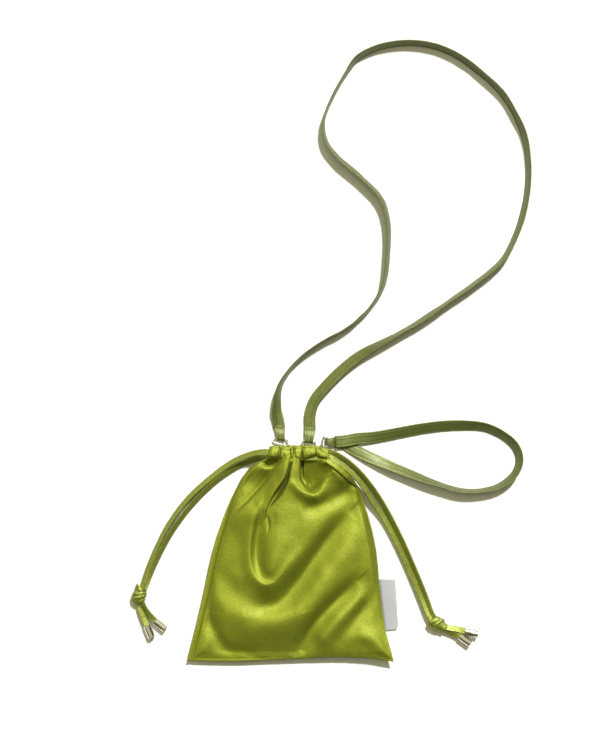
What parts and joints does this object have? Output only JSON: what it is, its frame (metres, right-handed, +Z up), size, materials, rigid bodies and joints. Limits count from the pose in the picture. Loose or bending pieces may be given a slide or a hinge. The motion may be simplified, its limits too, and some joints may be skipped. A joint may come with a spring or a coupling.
{
  "type": "drawstring pouch",
  "caption": "Gathered satin drawstring pouch with a long shoulder strap, a wrist strap on a clasp, knotted drawstrings with metal ends and a blank side label.",
  "frame": {"origin": "middle of the back panel's flat resting face, on the table", "axes": "+Z up from the table through the thin direction, +Y from the bottom seam to the gathered mouth, +X to the right as the front is seen"},
  "size_m": [0.3911, 0.6064, 0.0238],
  "materials": {
    "satin": "chartreuse satin weave, glossy floats",
    "strap": "folded and stitched satin tape",
    "drawcord": "flat satin tube",
    "nickel": "polished nickel plate",
    "label": "plain woven label, blank"
  },
  "bodies": {
    "pouch": {"back_panel": "satin", "front_panel": "satin", "back_casing": "satin", "front_casing": "satin", "left_hang_loop": "satin", "right_hang_loop": "satin", "wrist_hang_loop": "satin", "left_clasp_body": "nickel", "right_clasp_body": "nickel", "wrist_clasp_body": "nickel"},
    "left_drawstring": {"left_front_strand": "drawcord", "left_back_strand": "drawcord", "left_knot": "drawcord", "left_inner_tail": "drawcord", "left_outer_tail": "drawcord", "left_inner_tip": "nickel", "left_outer_tip": "nickel"},
    "right_drawstring": {"right_front_strand": "drawcord", "right_back_strand": "drawcord", "right_knot": "drawcord", "right_upper_tail": "drawcord", "right_lower_tail": "drawcord", "right_upper_tip": "nickel", "right_lower_tip": "nickel"},
    "shoulder": {"shoulder_strap": "strap", "shoulder_strap_left_end": "strap", "shoulder_strap_right_end": "strap"},
    "wrist": {"wrist_strap": "strap", "wrist_strap_end": "strap"},
    "left_gate": {"left_clasp_gate": "nickel"},
    "right_gate": {"right_clasp_gate": "nickel"},
    "wrist_gate": {"wrist_clasp_gate": "nickel"},
    "label": {"side_label": "label"}
  },
  "joints": [
    {"name": "left_drawstring_pull", "type": "slide", "parent": "pouch", "child": "left_drawstring", "axis": [-1, 0, 0], "range_m": [0, 0.02]},
    {"name": "right_drawstring_pull", "type": "slide", "parent": "pouch", "child": "right_drawstring", "axis": [1, 0, 0], "range_m": [0, 0.02]},
    {"name": "shoulder_strap_lift", "type": "hinge", "parent": "pouch", "child": "shoulder", "pos_m": [0.00438, 0.10992, 0.0025], "axis": [0.9969, -0.0787, 0], "range_deg": [0, 90]},
    {"name": "wrist_strap_lift", "type": "hinge", "parent": "pouch", "child": "wrist", "pos_m": [0.036, 0.108, 0.0025], "axis": [0, -1, 0], "range_deg": [0, 60]},
    {"name": "left_gate_open", "type": "hinge", "parent": "pouch", "child": "left_gate", "pos_m": [0.00053, 0.10014, 0.0025], "axis": [0, 0, 1], "range_deg": [0, 14], "stiffness_Nm_per_rad": 0.0005, "springref_deg": -5.73},
    {"name": "right_gate_open", "type": "hinge", "parent": "pouch", "child": "right_gate", "pos_m": [0.0177, 0.09833, 0.0025], "axis": [0, 0, 1], "range_deg": [0, 14], "stiffness_Nm_per_rad": 0.0005, "springref_deg": -5.73},
    {"name": "wrist_gate_open", "type": "hinge", "parent": "pouch", "child": "wrist_gate", "pos_m": [0.0287, 0.0994, 0.0025], "axis": [0, 0, 1], "range_deg": [0, 14], "stiffness_Nm_per_rad": 0.0005, "springref_deg": -5.73},
    {"name": "label_lift", "type": "hinge", "parent": "pouch", "child": "label", "pos_m": [0.093, -0.0516, 0.00035], "axis": [0.1096, -0.994, 0], "range_deg": [0, 80]}
  ]
}
